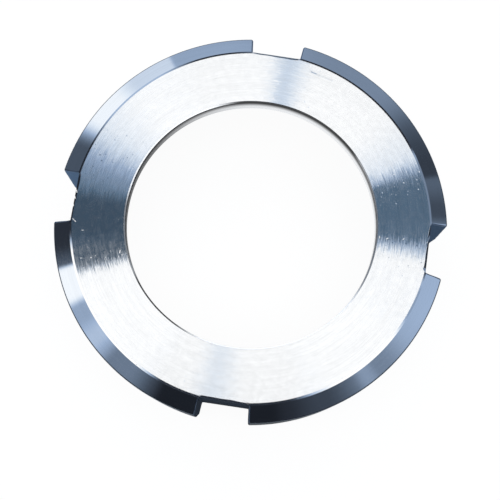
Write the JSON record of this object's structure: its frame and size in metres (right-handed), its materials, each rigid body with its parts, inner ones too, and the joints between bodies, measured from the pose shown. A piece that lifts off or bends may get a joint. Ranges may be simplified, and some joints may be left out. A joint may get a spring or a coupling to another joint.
{
  "type": "union nut",
  "caption": "Slotted round union nut with a flat collar, a plain collar bore, a bevelled front rim and an internal round thread.",
  "frame": {"origin": "on the nut's axis, in the plane of the open threaded end, on which the nut lies", "axes": "+Z along the axis from the open threaded end to the collar's flat face, +X and +Y each through the middle of a spanner slot"},
  "size_m": [0.0772, 0.0772, 0.021],
  "materials": {
    "stainless_steel": "bare stainless steel, fine turned on the face and bevels, milled in the slots"
  },
  "bodies": {
    "root": {"union_nut": "stainless_steel"}
  },
  "joints": []
}
